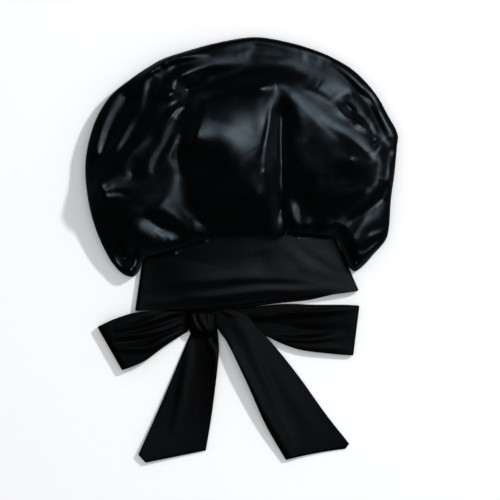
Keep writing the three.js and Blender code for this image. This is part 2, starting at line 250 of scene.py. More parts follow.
weave, crinkle = weaveGroup(), crinkleGroup()


def cloth(name, look):
    m = bpy.data.materials.new(name)
    m.use_nodes = True
    t = m.node_tree
    shader = t.nodes["Principled BSDF"]
    place = node(t, "ShaderNodeTexCoord").outputs["Object"]
    threads = node(t, "ShaderNodeGroup", {"node_tree": weave}, Vector=place, Threads=look["threads"],
                   Across=look["across"], Slub=look["slub"])
    waves = node(t, "ShaderNodeGroup", {"node_tree": crinkle}, Vector=place, Scale=look["waveScale"],
                 Stretch=look["waveStretch"])
    tone, rough = (node(t, "ShaderNodeMapRange", Value=threads.outputs["Tone"], From_Min=0.25, From_Max=0.75,
                        To_Min=low, To_Max=high).outputs[0] for low, high in ((0.0, 1.0), look["rough"]))
    colour = node(t, "ShaderNodeMix", {"data_type": "RGBA"}, Factor=tone)
    colour.inputs["A"].default_value = (*look["dark"], 1)
    colour.inputs["B"].default_value = (*look["light"], 1)
    t.links.new(colour.outputs["Result"], shader.inputs["Base Color"])
    t.links.new(rough, shader.inputs["Roughness"])
    broad = node(t, "ShaderNodeBump", Height=waves.outputs["Height"], Strength=1.0,
                 Distance=look["waveHeight"])
    fine = node(t, "ShaderNodeBump", Height=threads.outputs["Height"], Strength=look["bump"],
                Distance=look["threadHeight"], Normal=broad.outputs[0])
    grain = node(t, "ShaderNodeBump", Height=threads.outputs["Tone"], Strength=1.0, Distance=look["grain"],
                 Normal=fine.outputs[0])
    t.links.new(grain.outputs[0], shader.inputs["Normal"])
    for label, value in {
        "Specular IOR Level": look["specular"], "Specular Tint": (*look["tint"], 1),
        "Sheen Weight": look["sheen"], "Sheen Roughness": 0.4, "Sheen Tint": (*look["sheenTint"], 1),
        "Anisotropic": look["anisotropy"],
    }.items():
        shader.inputs[label].default_value = value
    if look["anisotropy"]:
        tangent = node(t, "ShaderNodeTangent", {"direction_type": "UV_MAP", "uv_map": "cloth"})
        t.links.new(tangent.outputs[0], shader.inputs["Tangent"])
    return m


satin = cloth("satin", dict(
    dark=(0.0004, 0.0005, 0.0007), light=(0.0007, 0.0009, 0.0011), rough=(0.29, 0.33), specular=0.35,
    tint=(0.62, 0.83, 1.0), sheen=0.045, sheenTint=(0.75, 0.88, 0.95), anisotropy=0.25, grain=0.0001,
    threads=4200.0, across=0.35, slub=0.3, bump=0.12, threadHeight=0.00006,
    waveScale=28.0, waveStretch=(1.0, 0.55, 1.0), waveHeight=0.0006))
knit = dict(  # what the band and the strap share
    sheenTint=(1, 0.95, 0.95), anisotropy=0.0, grain=0.00022, threads=2600.0, across=1.0, slub=0.5, bump=0.35,
    threadHeight=0.00012)
jersey = cloth("jersey", dict(
    knit, dark=(0.0008, 0.001, 0.0013), light=(0.0016, 0.0019, 0.0024), rough=(0.38, 0.46), specular=0.16,
    tint=(0.85, 0.94, 1.0), sheen=0.008, waveScale=16.0, waveStretch=(0.5, 1.0, 1.0), waveHeight=0.0004))
strapCloth = cloth("strap", dict(
    knit, dark=(0.0004, 0.0005, 0.0006), light=(0.001, 0.0011, 0.0014), rough=(0.34, 0.42), specular=0.068,
    tint=(0.86, 0.94, 1.0), sheen=0.006, waveScale=22.0, waveStretch=(1.0, 0.6, 1.0), waveHeight=0.0005))
print("materials made")


# Band: a flattened tube
band = dict(
    # front edge at the head opening
    hem=[(-115, -64.6), (-88, -64.1), (-60, -63.4), (-10.1, -58.9), (43.9, -52), (97.9, -46.9), (113, -45.1),
        (125.9, -43.1)],
    # edge at the crown
    seam=[(-107, -9.4), (-86, -5), (-64.1, 0.2), (-28, 11), (6, 14.7), (40.1, 15.8), (71.9, 14.2),
        (101.6, 12.6)],
    wall=2.0,
    seamRise=30.0,  # front of the band over the floor, at the crown
    hemRise=15.0,  # the same at the hem
    sideHeight=4.6,  # middle of the folded sides
    backHem=4.1,  # how far the back hem shows below the front one
    crease=(1.8, 0.42, 0.16),  # the crease along it: height, then place and width as shares of its depth
    flat=(236, 110),  # the cloth laid flat: half the way round the head, and the way round its section
)
band["folds"] = dict(  # height, width to the left and right of the path, path
    hemFold=(3.2, 4.5, 7, [(-111.3, -57.3), (-82.4, -55.2), (-55.5, -51.9), (-28.7, -49.8), (-1.9, -46),
        (25, -42.8), (51.8, -42.8), (78.6, -42.3), (105.4, -43.9), (120.5, -44.4)]),
    lowFold=(1.7, 6, 3.5, [(-102.8, -42.3), (-82.4, -37.5), (-55.5, -34.2), (-28.7, -33.2), (-1.9, -31),
        (25, -31), (51.8, -32.1), (78.6, -35.3), (107.6, -39.1)]),
    rightEnd=(3, 8, 26, [(95.8, 6), (107.6, -19.7), (115.1, -39.1)]),
    leftEnd=(3, 40, 25, [(-53.4, -11.2), (-57.7, -34.8), (-59.8, -54.1)]),
    middleCrease=(-1.6, 14, 14, [(17.4, -0.4), (23.9, -19.7), (28.2, -32.6)]),
    rightCrease=(-1, 5, 5, [(62.5, 1.7), (81.8, -13.3), (110.8, -28.3)]),
    seamFold=(0.8, 6, 6, [(45.3, 3.9), (58.2, -6.9), (75.4, -21.9)]),
)
hem = curve(band["hem"], 400)
seam = curve(band["seam"], 400)


def tube(turn, share, inset):  # turn goes left, over the front, right and back under; share from hem to seam
    u = (1 - np.cos(turn)) / 2
    p, a, b = (low * (1 - share)[..., None] + high * share[..., None]
               for low, high in ((along(hem, u), along(seam, u)), (hem[0], seam[0]), (hem[-1], seam[-1])))
    width = np.linalg.norm(b - a, axis=-1)
    part = (width - 2 * inset) / width
    middle = (a[..., 0] + b[..., 0]) / 2
    x = middle + (p[..., 0] - middle) * part
    under = turn > np.pi
    backShows = smooth(0.27, 0.37, u) * smooth(0.08, 0.25, 1 - u)  # where it does, as shares of the width
    y = p[..., 1] - np.where(under, band["backHem"] * np.maximum(0, 1 - share) * backShows, 0)
    r = band["sideHeight"] - inset
    side = r * rounded(np.minimum(u, 1 - u) * width * part / r)
    height, place, wide = band["crease"]
    rise = band["hemRise"] + (band["seamRise"] - band["hemRise"]) * share - 2 * band["sideHeight"]
    arch = (rise + height * bell((share - place) / wide)) * np.sin(np.pi * u) ** 1.3
    z = np.where(under, band["sideHeight"] - side, band["sideHeight"] + side + arch)
    return np.stack([x, y, z], -1)


def makeBand():
    around, rows = 420, 56
    lipOut = 0.55 * band["wall"]  # how far the rounded hem and seam reach past the walls
    turn = np.linspace(0, 2 * np.pi, around, endpoint=False)
    full = lambda share, inset: tube(*np.meshgrid(turn, share), inset)
    lip = lambda share, way: full([share], band["wall"] / 2) + [0, way * lipOut, 0]
    share = ease(rows, 1.6)
    section = np.concatenate([full(share, 0.0), lip(1.0, 1), full(share[::-1], band["wall"]), lip(0.0, -1)])
    rise = foldSum(section[..., :2].reshape(-1, 2), band["folds"]).reshape(section.shape[:2])
    section[..., 2] += rise * np.sin(np.clip(turn, 0, np.pi)) ** 0.5 * (turn < np.pi)
    index = np.pad(numbered(section), ((0, 1), (0, 1)), mode="wrap")
    halfLength, girth = band["flat"]
    uv = np.meshgrid(np.linspace(0, 2 * halfLength, around), np.linspace(0, girth, len(section)))
    uv = np.stack(uv, -1).reshape(-1, 2)
    obj = piece("bandJersey", section.reshape(-1, 3), grid(index), "band", jersey, uv)
    return obj


# Crown: columns fan out from the mouth, inside the band, to the rim, on the upper and the lower sheet
crown = dict(
    rim=[(-110.8, -20.2), (-115.7, -28.4), (-119.1, -29.1), (-128, -25.9), (-138.5, -15.3), (-151.9, 9.2),
        (-162.8, 41.7), (-167.9, 74.9), (-167.9, 96.9), (-164.2, 118.4), (-155, 144.5), (-139.7, 167.6),
        (-118.1, 185), (-104, 194.7), (-85.9, 205.2), (-59.4, 214.1), (-23.3, 223.7), (14.8, 229),
        (48.1, 224), (77, 215.7), (98.1, 206.8), (120.9, 192.8), (143.7, 168.5), (156.8, 145.9),
        (167.9, 123.7), (167, 111.1), (164.3, 82), (160.5, 53.4), (158.5, 24.7), (155.5, 11.7), (141.5, -5.3),
        (129.1, -18.8), (121.1, -23.1), (115.9, -18.3)],
    wall=1.2,
    sheetEdge=15.0,  # height of the rim's outermost line
    rimRoll=17.0,  # width of the rolled rim
    tuck=0.1,  # share of the band's depth that the crown reaches into it
    swellX=[-47.3, -37.6, -30, -21.4, -6.3, 21.8, 39.1, 43.4, 47.7, 54.2],  # the satin swells over
    swellBy=[0, 1, 3, 5.5, 7.5, 9, 11, 9, 1.5, 0],  # the band's edge: how far it does, along X
    stiff=6,  # how freely the upper sheet passes its height lines
    lineStep=6,  # distance of the points along them
)
crown["heights"] = dict(  # ridges, panels and valleys of the upper sheet: x, y and height
    rimRidge=[(-117.7, 165.7, 29.3), (-98.1, 183.6, 37), (-86.3, 195.3, 39.1), (-71.4, 201.8, 36.9),
        (-31.8, 204.1, 33.4), (8.9, 206.7, 25.8), (41, 205.6, 26), (67.9, 202.3, 26.7)],
    rearValley=[(-63.8, 185.6, 40), (-31.9, 188.2, 30), (-1.9, 191.5, 28.5), (28.1, 190.2, 33.4)],
    rearValley2=[(-59.9, 173.5, 23.5), (-39.4, 174.5, 25.8), (-17.9, 170.9, 34.4), (1.4, 179.4, 36),
        (21.7, 183.5, 39.4), (43.1, 181.3, 40.1)],
    rearRight=[(62.5, 190.4, 29.4), (81.8, 181.9, 28.1), (94.6, 169, 28.5), (105.4, 156.2, 26.4)],
    rearRightRidge=[(67.9, 202.4, 26.1), (86.1, 201.3, 26.4), (110.7, 181.9, 28.5), (132.3, 154.1, 25.5),
        (152.6, 117.6, 27.5)],
    dimple=[(111.9, 162.7, 24.1), (118.4, 152.1, 21.9), (129.2, 141.4, 21.9)],
    rearInner=[(142.6, 111.9, 36.2), (139.8, 126.2, 24.6), (133.3, 132.6, 26.9)],
    brow=[(-41.3, 160.8, 45.3), (-28.5, 157.6, 46.3), (-1.8, 165, 46.8), (21.6, 171.2, 51.7),
        (38.8, 170.5, 43.5)],
    panel1=[(-40.1, 143.3, 57.6), (-17.8, 145.6, 52.9), (8.9, 148.8, 51.7)],
    panel2=[(-41.1, 121.8, 64.8), (-17.7, 124, 61.5), (8.9, 126.4, 54)],
    panel3=[(-54.1, 90.3, 48.6), (-33.8, 89.1, 51.9), (-7.1, 89.9, 62.8), (12, 89.9, 64.7)],
    panel4=[(-53.1, 58.3, 45.7), (-28.4, 58.1, 58.1), (-1.8, 58, 64), (17.4, 58, 64.5)],
    panel5=[(-41.4, 29.5, 38.6), (-17.8, 31.6, 45.2), (8.9, 31.6, 48.3), (28.1, 31.6, 46.4)],
    panel6=[(-31.9, 12.5, 24.8), (-7.2, 12.4, 26.9), (19.6, 10.3, 32.1), (35.6, 10.3, 32.6)],
    pleat=[(45.2, 172.6, 43.7), (33.4, 156.6, 43.6), (25.9, 140.5, 46.4), (23.8, 111.5, 51.2),
        (23.7, 84.6, 64.1), (27, 58.1, 56.7), (33.5, 29.5, 38.1), (41, 4.9, 32.1)],
    pleatValley=[(47.3, 162.9, 46.1), (42, 144, 37.9), (40.9, 117.1, 42.2), (42, 90.4, 44.1),
        (44.1, 63.7, 39.3), (46.4, 37.1, 27.4), (47.5, 14.6, 20.7)],
    rightInner=[(53.7, 159.7, 46.8), (58, 133.1, 44.8), (55.8, 106.3, 48.2), (54.7, 84.9, 48.9)],
    rightRidge=[(52.6, 167.2, 45.6), (75, 145.8, 46.2), (99.6, 129.8, 47.2), (121, 119.2, 44.6),
        (139.3, 103.3, 41.1), (144.7, 87.3, 38.7), (133.9, 63.7, 40.6), (110.5, 41.3, 37.8),
        (92.3, 19.9, 37.6)],
    rightTop=[(70.8, 117, 47.2), (94.1, 104, 54.7), (117.4, 97.5, 58.3)],
    rightDark=[(51.6, 73.3, 43.6), (78.1, 76.3, 53.9), (110.2, 76.4, 49.8)],
    rightLow=[(94.2, 52.9, 47.5), (115.6, 59.4, 45.7)],
    gather1=[(53.8, 64.8, 40.3), (59.1, 46.6, 37.6), (61.3, 14.6, 35)],
    gatherValley0=[(48.4, 47.7, 37.9), (53.9, 14.6, 26.7)],
    gatherValley1=[(68.7, 49.8, 39.9), (65.7, 12.4, 30)],
    gather2=[(81.4, 60.4, 50.5), (75.2, 40.2, 37.5), (66.7, 16.7, 33.6)],
    gatherValley2=[(86.9, 42.3, 39.9), (75.4, 16.7, 27.8)],
    gather3=[(101.9, 37, 39.2), (85.9, 34.9, 36.6), (76.4, 21, 30.8)],
    outerBrow=[(62.4, 180.4, 36.2), (81.7, 171, 31.1), (100, 157.1, 29.8), (116, 141, 31.5),
        (131.1, 132.5, 28.6), (148, 108.8, 34.7)],
    strand=[(161.2, 105.8, 25.6), (156.5, 74.5, 37.1), (151.4, 53.2, 29.7), (128.7, 29.5, 36.1),
        (118, 11.3, 37.2)],
    rightValley=[(153.4, 90.6, 34.8), (146.8, 65.9, 39.4), (126.5, 46.6, 37.5), (107.4, 27.4, 34.8)],
    rightSide2=[(118, 0.6, 35.6), (127.8, -2.6, 30.8), (146.2, 10.3, 26.2), (154.7, 14.6, 27.5)],
    rightSide1=[(107.4, 22.1, 33.7), (115.9, 31.7, 34), (126.6, 36, 34.4)],
    leftRim=[(-122.1, 164.9, 23.9), (-140.3, 145.5, 25.8), (-146.7, 127.2, 26.6), (-154.1, 103.5, 30.2)],
    leftValley=[(-106.8, 167.6, 35.3), (-119.8, 152.9, 28.7), (-129.4, 136.8, 29.5), (-143.4, 115.4, 27.8),
        (-154.2, 96.1, 26.5)],
    leftRidge1=[(-86.3, 196.4, 38.8), (-98.1, 176.1, 38.2), (-105.5, 152.4, 40.6), (-119.5, 131.1, 39.3),
        (-133.4, 108.7, 37.8), (-150.7, 86.3, 33.3)],
    leftValley1=[(-87.4, 170.7, 38.3), (-93.7, 154.5, 42.1), (-100.1, 135.2, 44.5), (-112.9, 114.9, 43.8)],
    leftHollow=[(-74.5, 168.5, 40.5), (-80.9, 151.3, 42.3)],
    leftRidge2=[(-55.4, 159.1, 34.3), (-71.2, 141.5, 46.6), (-79.7, 119.1, 48.3), (-93.5, 97.7, 50.2),
        (-96.7, 81.7, 49.5)],
    leftRidge3=[(-92.6, 119.1, 46), (-107.5, 108.5, 46.4), (-118.2, 90.4, 44.2), (-118.2, 76.4, 45.5)],
    oval=[(-100, 104.1, 48.4), (-107.4, 91.3, 48), (-102.1, 82.8, 49.8)],
    streak=[(-152.8, 82, 35.4), (-143.8, 72.2, 47), (-127.7, 70, 47.3), (-113.9, 74.3, 47.2)],
    underStreak=[(-147.4, 89.5, 35.4), (-132.1, 95.7, 45.2)],
    lip=[(-143.7, 56.1, 47.8), (-129.9, 59.3, 47.3), (-116, 57.2, 47)],
    lipValley=[(-137.4, 63.6, 47.3), (-123.5, 63.6, 48.1)],
    underside=[(-97.9, 56.2, 46), (-81.9, 65.8, 45.8)],
    vLeft=[(-62.6, 137.2, 49.4), (-69, 114.8, 49.5), (-73.3, 101, 47.6), (-68, 79.7, 43.9),
        (-69.1, 65.8, 44.2), (-81.9, 49.7, 46.8)],
    vValley=[(-69.1, 140.5, 46.6), (-77.6, 106.3, 48.5), (-85, 84.9, 48.9)],
    vRight=[(-60.5, 137.1, 50.3), (-58.1, 116.5, 62.6), (-59.4, 103, 50.2)],
    vInner=[(-62.6, 122.2, 51.3), (-63.6, 106.2, 51), (-60.6, 79.7, 45.1), (-57.4, 58.3, 43.7)],
    lit=[(-65.9, 45.5, 43.2), (-55.3, 29.5, 40.6)],
    bulge=[(-106.5, 35.9, 43.4), (-87.5, 21, 36.4), (-69.3, 10.3, 35.8)],
    bulgeValley=[(-89.4, 41.2, 45.8), (-73.5, 30.6, 39.4), (-59.6, 14.6, 37.1)],
    bulgeLow=[(-125.8, 37, 41.5), (-114, 18.8, 44.5), (-96, 6, 38.8), (-74.6, 0.6, 34.9)],
    leftGather1=[(-55.3, 39.1, 40.4), (-40.3, 24.2, 38.3), (-36.1, 10.3, 34.5)],
    leftGatherValley0=[(-45.7, 25.2, 40.1), (-38.2, 10.3, 36.2)],
    leftGatherValley1=[(-35, 23.1, 36.4), (-30.8, 10.3, 29.2)],
    leftGather2=[(-38.1, 37, 44.2), (-27.6, 15.6, 31.3)],
    backLow=[(-155.7, 63.7, 43), (-147.6, 29.6, 31.5), (-135, 4.9, 24.3), (-124.7, -9, 11)],
    topBack=[(-97.9, 191.8, 44.2), (-71.2, 207.7, 46.6), (-31.9, 214, 29.5), (14.2, 217.5, 23.6),
        (51.8, 215.2, 27.5), (94.7, 201.2, 27)],
    flank=[(65.5, 172.3, 38.9), (81.6, 164.3, 38), (97.7, 154.8, 35.2), (114.7, 137.5, 38.8),
        (130.9, 128, 35.5), (145.8, 108.7, 36.7)],
)
crown["cliffs"] = dict(  # height gained on the left (start, middle, end), width of the step, reach, path
    brow=((1.4, 4.2, 2.5), 5.2, 16.8, [(-48, 160.6), (-37.2, 163.9), (-25.6, 163.8), (-14.8, 168.3),
        (-3.5, 173.2), (7.8, 177.5), (20.3, 180.9), (33.5, 180.9), (45.4, 179.5)]),
    rightRear=((-1.7, 9.9, 8.7), 3.6, 19.7, [(53, 171.5), (68.5, 170.1), (83.5, 164.7), (97.3, 156.4),
        (108.5, 144.9), (121.3, 136.1), (134.6, 126.7), (144.9, 114.3), (150.5, 99.3)]),
    rightEdge=((-1.8, -5.7, 9.8), 7.9, 11.1, [(150.7, 93.6), (152.2, 81.4), (149.1, 69.2), (142.9, 58.5),
        (134.6, 49.3), (125.1, 41.9), (115.4, 35.2), (105.2, 28.7), (94.4, 22.8)]),
    lowerEdge=((-12.4, 0.3, -10), 5.1, 6.9, [(-63.6, -2.2), (-80.8, -4.9), (-98.6, -4.5), (-114.9, 3.8),
        (-128, 15.6), (-138.9, 29.4), (-147.5, 44.7), (-152.9, 61.5), (-154.6, 78.8)]),
    leftRim=((5.8, 8.2, 18), 5.6, 10.7, [(-154.1, 78.1), (-148.7, 94.2), (-136, 105.2), (-125.6, 119.1),
        (-117.4, 134.4), (-108.1, 148.8), (-102.8, 164.6), (-98.1, 181.9), (-91.5, 198)]),
    flank=((1.7, 3.9, -1.5), 5.7, 11.8, [(64.8, 174.5), (74.9, 166.6), (85.2, 158.6), (95.3, 150.7),
        (105.6, 143), (116, 135.5), (126.6, 128.2), (137.2, 120.2), (146.9, 111.6)]),
)
crown["folds"] = dict(  # height (start, middle, end), width to the left and right of the path, path
    leftRim=((-1.4, 2.6, 2.1), 5.3, 7.7, [(-120.4, 160.1), (-132.8, 155.6), (-141.2, 147.5), (-147.7, 135.4),
        (-152.4, 123.5), (-156.2, 112.8), (-159.2, 100)]),
    leftRidge1=((-5.3, -0.5, 5.9), 5.6, 5.2, [(-88.4, 197.5), (-98.7, 182.2), (-104.8, 164.2), (-111.4, 148),
        (-122, 133.7), (-131.7, 117.9), (-142.5, 103.8), (-154.2, 88.8), (-152.6, 69.2)]),
    leftRidge2=((8, 0.6, 2), 2.7, 6.2, [(-57.8, 158), (-69, 150.4), (-76.1, 141.7), (-83, 129.2),
        (-86.8, 118.5), (-93.9, 107.9), (-98.8, 96.6), (-98.9, 83.1)]),
    leftRidge3=((0.4, 3.2, 1.6), 6.5, 6.3, [(-96.7, 121.2), (-105.7, 115.8), (-114.7, 108.7), (-121, 98.7),
        (-123.4, 87), (-122.3, 76.3)]),
    streak=((-0.3, 1, -1.4), 6, 3, [(-155.2, 73.3), (-148.9, 65.4), (-134.9, 64), (-126.5, 68.4),
        (-117.9, 73.6)]),
    underStreak=((-2.1, -0.3, -1.2), 3.9, 2.7, [(-118.4, 83.4), (-111.1, 76.3), (-102, 75.1), (-95.7, 82.8)]),
    lip=((2.6, -0.3, 0.3), 3.3, 4.8, [(-143.6, 55.7), (-131.9, 57.9), (-119.3, 58.1), (-107.4, 56.4)]),
    underside=((-2, 1.1, -0.1), 4.2, 5.7, [(-144.9, 67.3), (-139.4, 56.8), (-131.8, 47.6), (-121, 41.7),
        (-108.4, 40.5), (-96.3, 43.1), (-84.9, 48.9), (-76.5, 58.6), (-72, 70.1)]),
    vLeft=((-1.2, 2.2, -0.5), 4.1, 8.8, [(-62, 138.1), (-68.2, 124.8), (-73.1, 113.6), (-76.9, 97.8),
        (-73.4, 83.7), (-73.1, 71), (-77, 62), (-86.2, 53.1)]),
    vRight=((1.3, -4, -0.8), 5.3, 4.3, [(-63.2, 138.1), (-58.9, 127.3), (-58.1, 114.7), (-59.6, 103.1)]),
    triangle=((0.3, 1.5, 2.2), 5, 6.2, [(-87.3, 46.1), (-78.1, 39), (-69.6, 31.4), (-61.9, 23.2),
        (-55.9, 13.7)]),
    leftGather1=((3.2, -0.6, 0.4), 4.7, 4.6, [(-55.1, 39.1), (-48.1, 29.8), (-41.9, 20.8), (-38.2, 10)]),
    leftGather1b=((0.4, -0.5, -0.3), 3, 2.9, [(-51.8, 29.6), (-45.6, 21.8), (-44.2, 11.8)]),
    leftGather2=((-0.1, 0.1, 1.8), 2.5, 2.6, [(-39.1, 37), (-36.8, 26.7), (-32.2, 17.3), (-28.9, 9.2)]),
    bulge=((2.6, 2.3, 3), 5.4, 9.6, [(-108.4, 36), (-100.6, 27.2), (-91.3, 19.7), (-80.6, 14.7),
        (-69.5, 11.2)]),
    curl=((-1, 4.5, 7.1), 5.1, 3.3, [(-72.6, 12.1), (-74.7, 5.1), (-68.8, -0.6), (-61.2, 1.9)]),
    tip=((1.1, -0.7, 5.5), 3.6, 5.9, [(-132.7, 0), (-127.5, -7.1), (-119.2, -12.1), (-111.7, -18.1)]),
    swirl=((-3.4, 2.3, 7.1), 6.9, 3.7, [(-90, 193.9), (-84.3, 186), (-76.8, 181.1), (-70.3, 170.3),
        (-81.2, 165.2), (-91.5, 167.4)]),
    rimRidge=((1.3, 0, 3.4), 5.2, 5.1, [(-80.7, 197), (-63, 203.1), (-44.7, 202.3), (-26.5, 201),
        (-7.8, 201.2), (10.4, 204.2), (27.4, 203.7), (46.1, 204), (64.3, 207.4)]),
    rimShort=((2.3, 0.9, 0), 2.7, 7.9, [(-1.7, 211.1), (9.9, 215), (22.3, 213.2), (33.3, 211.8),
        (45.3, 211.4)]),
    rear1=((0.6, -3.2, -8), 3.7, 11.2, [(65.4, 209), (81, 203.5), (96.2, 196.2), (110.1, 185.4),
        (121.3, 173.7), (132.9, 161.2), (141.5, 146.6), (148.7, 131.7), (155.1, 116.5)]),
    rearPatch=((3.9, -0.1, 1.2), 6.9, 6.6, [(81.4, 176.7), (89.3, 171.7), (98, 167.4), (106.5, 164)]),
    rear2=((0.6, -4.2, -0.9), 8.6, 3.1, [(126.8, 174.4), (134.7, 166.3), (142.3, 156.5), (148.8, 147.7)]),
    rear3=((-0.1, -0.6, 0.3), 7.4, 5.1, [(117.6, 169.3), (114.4, 162.5), (108.9, 157.3), (101.7, 154.1)]),
    rear4=((1.1, 0.6, -1.1), 3, 3.1, [(117.7, 136.3), (123.8, 132.8), (131.8, 133.5), (136.7, 138.6)]),
    panelHigh=((-1.6, -0.5, -2), 4.3, 22, [(-40.1, 131.3), (-26.8, 128.7), (-13.4, 125.8), (-1.5, 122.8),
        (6.5, 115.4), (14.1, 104)]),
    pleatCrest=((1.7, 3, 7.1), 9.6, 8, [(42.9, 174.5), (29.1, 157.8), (23.2, 138.1), (24.1, 117.1),
        (25.6, 95.8), (27.3, 74.7), (30.9, 54.6), (36.1, 33.9), (41.2, 13.2)]),
    pleatSide=((-0.4, 4.4, -0.8), 9.7, 4.1, [(43.3, 173.8), (36.9, 161.8), (32.6, 151.4), (30.3, 138.3),
        (28.2, 125), (25.9, 111.7), (23.9, 100.6), (21, 87.3)]),
    rightRidge=((-0.6, -1.3, 1.8), 4.9, 4.8, [(50.3, 166.2), (59.1, 155.2), (69.9, 144.9), (81.5, 137.1),
        (93.8, 129.9), (107.3, 124.7), (119.9, 119.3), (131.5, 111.2), (143.4, 103.4)]),
    rightRidgeLow=((-2.3, -1.3, 1.7), 6.7, 5, [(143, 97.6), (146.7, 85.4), (143.1, 73.1), (134.7, 63.3),
        (125.3, 54.5), (116.2, 45.7), (107.3, 36.5), (98.7, 27.1), (90.3, 17.4)]),
    rightInner=((3.1, -0.8, 1.4), 6.4, 11.6, [(59.2, 140.2), (59.2, 128.8), (60.3, 118.7), (60.6, 109.2),
        (61, 98)]),
    gather1=((-1.1, 1, 1.3), 4.1, 4.1, [(55.4, 65.7), (57, 53.2), (56.1, 40), (58.8, 27.2), (60.2, 14.4)]),
    gather1b=((0.3, 1.6, 0.4), 4.5, 2.6, [(51, 61.7), (46.6, 53.2), (46.1, 41.9), (49.5, 33.2)]),
    gather2=((0.6, -1.1, 4.3), 5.9, 5, [(78.8, 62.7), (77.9, 50.5), (75, 38.8), (70.8, 27.7), (65.3, 17)]),
    gather2b=((0.5, 0.3, -0.2), 4.8, 3.3, [(74.3, 56.8), (74.2, 47), (71.2, 37.6), (65.6, 29.8)]),
    arc=((0.2, -0.3, 0.1), 2.5, 3.8, [(100.6, 34.8), (92.3, 38.6), (82.7, 37.2), (75.7, 30.1), (74.1, 21.4)]),
    gather0=((3.3, 8.7, 0.9), 8.6, 7.8, [(40.1, 42.1), (44.5, 34.4), (45.7, 25.2), (43.8, 16.6)]),
    innerLine=((-2.9, 0.8, -3.4), 5.2, 11.2, [(138.9, 66.8), (128, 71.2), (116, 73.1), (104.1, 70.1),
        (94, 63.3), (86.6, 54.2)]),
    strand=((8, 2.3, -2.2), 12.6, 2.2, [(164, 103.3), (160.7, 90.8), (159.4, 78.1), (157.6, 64.7),
        (151.6, 52.1), (141.8, 42.8), (131.7, 34.4), (122.8, 24.6), (116, 13.2)]),
    rightSide1=((3.3, 0.4, 0.2), 6.7, 3.5, [(104.7, 22.1), (111.5, 28.2), (118.8, 33.4), (127.4, 34.3)]),
    rightSide2=((-5.6, 3.9, 3.6), 4.8, 4.7, [(115.6, 3.9), (121.1, -5.8), (133.7, -5.9), (142.9, 0.3),
        (149, 7.4), (155.5, 14.5)]),
    rightSide3=((-0.7, 5.7, 3.9), 3.8, 4.2, [(116, -5.9), (116, -13.8), (125.6, -17.4), (131, -12)]),
    rightSide4=((3.3, 2.5, 2.7), 4.8, 4.6, [(134.9, 11.2), (145.3, 15.6), (155.3, 19.4)]),
    innerFlank=((-1.8, 0.4, -0.2), 3.3, 2.8, [(151.6, 110.5), (149, 101.2), (148.7, 92.3), (151.1, 82.7)]),
    middleLeft=((-0.5, -0.8, 0.5), 11, 6.9, [(-112.5, 139.8), (-108.5, 133.4), (-102.9, 127.4),
        (-97.2, 122.8)]),
    leftRimValley=((-1.4, 0.2, 2.3), 11.7, 4.8, [(-115.6, 164.7), (-122.2, 153.8), (-127.8, 142.1),
        (-132.9, 130.5), (-138, 118.9)]),
    leftValley=((-2.3, -2, -0.8), 6.1, 10.8, [(-99.8, 140.3), (-109.9, 132), (-118.4, 122.7), (-125.5, 112.4),
        (-131.3, 101)]),
    ovalValley=((-1.7, 0.4, -0.5), 7.3, 7.7, [(-99.6, 107), (-107.7, 104.8), (-114.3, 95.8), (-113.3, 87.5)]),
    leftValley2=((-0.8, -2, -0.7), 5.1, 4.2, [(-70.7, 135.1), (-75.9, 123.7), (-81, 112.7), (-87, 102.2),
        (-92.6, 90), (-95.2, 77.4)]),
    vValley=((-1.7, -1.7, -0.5), 7.4, 3.7, [(-62.9, 129.8), (-67, 117.7), (-68, 104.6), (-65.9, 92),
        (-61.8, 79.9), (-56.2, 68.6)]),
    panelValley=((-0.7, -4, -4.7), 5.2, 7.8, [(-53.1, 149), (-54.5, 139), (-54.9, 129.7), (-56, 120.5),
        (-56.8, 110.4)]),
    bulgeValley=((2.5, 1.6, -7.2), 9.3, 7.4, [(-95, 42.7), (-84.4, 36.5), (-75.7, 29.1), (-68.2, 20.7),
        (-60.8, 11.5)]),
    pleatValley=((-1.3, -4.1, 1.7), 4.3, 3.3, [(47.9, 161.2), (44, 146.8), (42.6, 132.1), (42.4, 117.1),
        (42.5, 102.1), (42.4, 87), (41.4, 72), (42.2, 57.3), (45.2, 42.6)]),
    rightValley=((5.4, -0.7, 4.4), 5.2, 11.9, [(51.6, 71.9), (63.5, 74.6), (75.4, 76.8), (87.4, 77.9),
        (99.6, 79.1)]),
    gatherValley=((-2.5, 1.1, -0.2), 3.5, 3.9, [(64.3, 52.8), (65.5, 43.3), (66.2, 33.7), (66.3, 24),
        (66.6, 14.3)]),
    gatherValley0=((0.1, 0.9, -1.7), 2.6, 3.7, [(48.2, 44.5), (46.4, 34.3), (47.5, 23.5), (51.3, 14.2)]),
    rightSideValley=((-7.4, -1.3, -1.4), 5.5, 6.2, [(152.5, 76.2), (147.8, 65.8), (139.9, 58.2), (130.9, 51),
        (122.8, 42.8), (115.1, 34.2)]),
    underValley=((-2.3, -0.2, 0.3), 3.8, 4, [(-140.4, 61.8), (-129.6, 62.1), (-119.2, 62.2), (-108.2, 62.1),
        (-97.6, 65), (-87.9, 70.4)]),
    hollow=((-0.2, -0.9, -0.4), 6, 6.1, [(-146.9, 95.7), (-140.5, 92), (-133.1, 94.9), (-128.1, 100.4)]),
    rearValley=((-8, -2, 0.3), 5.2, 8.5, [(-59.5, 183.6), (-45.8, 186.7), (-34.4, 188.9), (-20.7, 190.7),
        (-7, 191.9), (6.6, 193), (18.1, 193.7), (32, 194)]),
    dimple=((0.2, -4.2, 1.8), 3.6, 7.2, [(109, 160.2), (113.8, 153.3), (120.4, 146.2), (127, 141)]),
    lowValley=((-2.2, 0.1, 0.4), 3.3, 3.1, [(117.7, 2.5), (126.8, 0.9), (135.3, 6.5), (140.3, 13)]),
    panelEdge=((0.2, 0.7, 1.9), 2.9, 4.2, [(-59.1, 98.6), (-54.6, 110.7), (-49.1, 121.4), (-44.9, 132.6),
